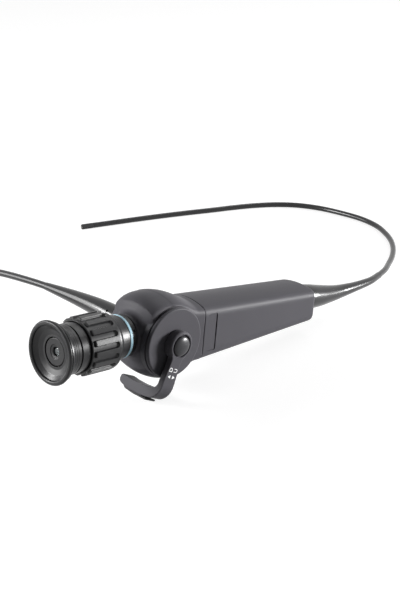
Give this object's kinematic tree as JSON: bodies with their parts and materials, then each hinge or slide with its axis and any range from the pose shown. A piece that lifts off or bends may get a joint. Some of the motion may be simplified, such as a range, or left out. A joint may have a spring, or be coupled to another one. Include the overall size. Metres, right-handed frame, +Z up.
{
  "type": "flexible endoscope",
  "caption": "Portable flexible endoscope with an eyepiece and focusing ring, a grip with an angulation lever, a thin insertion tube with a bending tip, and a light guide cable.",
  "frame": {"origin": "on the table, under the middle of the scope's rigid part from eyepiece to grip", "axes": "+X runs along the scope from the eyepiece towards the grip and the insertion tube, +Y points to the far side where the light guide cable leaves, +Z is up"},
  "size_m": [0.342, 0.2873, 0.0569],
  "materials": {
    "eyepiece_black": "satin black anodised",
    "housing_grey": "satin dark grey moulding",
    "light_blue": "light blue identification ring",
    "index_white": "white paint fill",
    "gloss_black": "glossy black polymer sheath",
    "soft_black": "matt black rubber",
    "steel": "fine turned stainless steel",
    "brass": "turned brass",
    "bearing_white": "off-white bearing plastic",
    "lens_glass": "clear polished glass",
    "fibre_grey": "packed glass fibres in a thin sheath"
  },
  "bodies": {
    "scope": {"eyepiece_collar": "eyepiece_black", "collar_set_screw": "steel", "blue_ring": "light_blue", "ocular_sleeve": "steel", "ferrule_holder": "brass", "bundle_ferrule": "steel", "image_bundle": "fibre_grey", "control_body": "housing_grey", "grip_housing": "housing_grey", "name_plate": "housing_grey", "insertion_gland": "eyepiece_black", "side_cover": "housing_grey", "cover_bush": "bearing_white", "shaft_seal": "soft_black", "coil_sheath_up": "steel", "coil_sheath_down": "steel", "frame_plate": "steel", "shaft_bush": "bearing_white", "guide_block": "brass", "light_guide_bundle": "fibre_grey", "insertion_boot": "gloss_black", "insertion_tube": "gloss_black", "light_guide_collar": "eyepiece_black", "light_guide_boot": "gloss_black", "light_guide_cable": "gloss_black", "cable_coil": "gloss_black", "coil_tie": "soft_black", "light_guide_cable_end": "gloss_black", "plug_boot": "gloss_black", "light_guide_plug": "housing_grey", "light_guide_pin": "steel", "vent_cap": "steel"},
    "eyepiece": {"eyepiece_cup": "eyepiece_black", "eye_window_ring": "eyepiece_black", "eye_window_glass": "lens_glass", "eyepiece_barrel": "eyepiece_black", "ocular_lens": "lens_glass", "ocular_lock_ring": "eyepiece_black"},
    "diopter": {"diopter_ring": "eyepiece_black", "index_dot": "index_white"},
    "lever": {"angulation_lever": "housing_grey", "lever_cap": "housing_grey", "lever_shaft": "steel", "thumb_pad": "soft_black", "angulation_drum": "brass"},
    "wire_up": {"pull_wire_up": "steel"},
    "wire_down": {"pull_wire_down": "steel"},
    "link_1": {"bending_link_1": "gloss_black"},
    "link_2": {"bending_link_2": "gloss_black"},
    "link_3": {"bending_link_3": "gloss_black"},
    "link_4": {"bending_link_4": "gloss_black"},
    "link_5": {"bending_link_5": "gloss_black"},
    "link_6": {"bending_link_6": "gloss_black"},
    "link_7": {"bending_link_7": "gloss_black"},
    "tip": {"distal_tip": "soft_black", "objective_lens": "lens_glass", "light_window_left": "fibre_grey", "light_window_right": "fibre_grey"}
  },
  "joints": [
    {"name": "lever_hinge", "type": "hinge", "parent": "scope", "child": "lever", "pos_m": [-0.02202, 0.0032, 0.03013], "axis": [0, 1, 0], "range_deg": [-32, 32]},
    {"name": "wire_up_slide", "type": "slide", "parent": "scope", "child": "wire_up", "axis": [0.9931, 0, -0.1175], "range_m": [-0.0031, 0.0031]},
    {"name": "wire_down_slide", "type": "slide", "parent": "scope", "child": "wire_down", "axis": [0.9931, 0, -0.1175], "range_m": [-0.0031, 0.0031]},
    {"name": "diopter_hinge", "type": "hinge", "parent": "scope", "child": "diopter", "pos_m": [-0.06546, 0.0032, 0.03829], "axis": [0.9931, 0, -0.1175], "range_deg": [-60, 60]},
    {"name": "eyepiece_slide", "type": "slide", "parent": "scope", "child": "eyepiece", "axis": [0.9931, 0, -0.1175], "range_m": [-0.00155, 0.00155]},
    {"name": "bend_hinge_1", "type": "hinge", "parent": "scope", "child": "link_1", "pos_m": [0.13576, 0.193, 0.00176], "axis": [0, 0, 1], "range_deg": [-16.3, 16.3]},
    {"name": "bend_hinge_2", "type": "hinge", "parent": "link_1", "child": "link_2", "pos_m": [0.13205, 0.1945, 0.00176], "axis": [0, 0, 1], "range_deg": [-16.3, 16.3]},
    {"name": "bend_hinge_3", "type": "hinge", "parent": "link_2", "child": "link_3", "pos_m": [0.12834, 0.196, 0.00176], "axis": [0, 0, 1], "range_deg": [-16.3, 16.3]},
    {"name": "bend_hinge_4", "type": "hinge", "parent": "link_3", "child": "link_4", "pos_m": [0.12463, 0.1975, 0.00176], "axis": [0, 0, 1], "range_deg": [-16.3, 16.3]},
    {"name": "bend_hinge_5", "type": "hinge", "parent": "link_4", "child": "link_5", "pos_m": [0.12093, 0.19899, 0.00176], "axis": [0, 0, 1], "range_deg": [-16.3, 16.3]},
    {"name": "bend_hinge_6", "type": "hinge", "parent": "link_5", "child": "link_6", "pos_m": [0.11722, 0.20049, 0.00176], "axis": [0, 0, 1], "range_deg": [-16.3, 16.3]},
    {"name": "bend_hinge_7", "type": "hinge", "parent": "link_6", "child": "link_7", "pos_m": [0.11351, 0.20199, 0.00176], "axis": [0, 0, 1], "range_deg": [-16.3, 16.3]},
    {"name": "bend_hinge_8", "type": "hinge", "parent": "link_7", "child": "tip", "pos_m": [0.1098, 0.20349, 0.00176], "axis": [0, 0, 1], "range_deg": [-16.3, 16.3]}
  ],
  "couplings": [
    {"joint": "wire_up_slide", "follows": "lever_hinge", "m_per_rad": 0.0054},
    {"joint": "wire_down_slide", "follows": "lever_hinge", "m_per_rad": -0.0054},
    {"joint": "eyepiece_slide", "follows": "diopter_hinge", "m_per_rad": 0.001432},
    {"joint": "bend_hinge_1", "follows": "lever_hinge", "ratio": 0.50781},
    {"joint": "bend_hinge_2", "follows": "lever_hinge", "ratio": 0.50781},
    {"joint": "bend_hinge_3", "follows": "lever_hinge", "ratio": 0.50781},
    {"joint": "bend_hinge_4", "follows": "lever_hinge", "ratio": 0.50781},
    {"joint": "bend_hinge_5", "follows": "lever_hinge", "ratio": 0.50781},
    {"joint": "bend_hinge_6", "follows": "lever_hinge", "ratio": 0.50781},
    {"joint": "bend_hinge_7", "follows": "lever_hinge", "ratio": 0.50781},
    {"joint": "bend_hinge_8", "follows": "lever_hinge", "ratio": 0.50781}
  ]
}
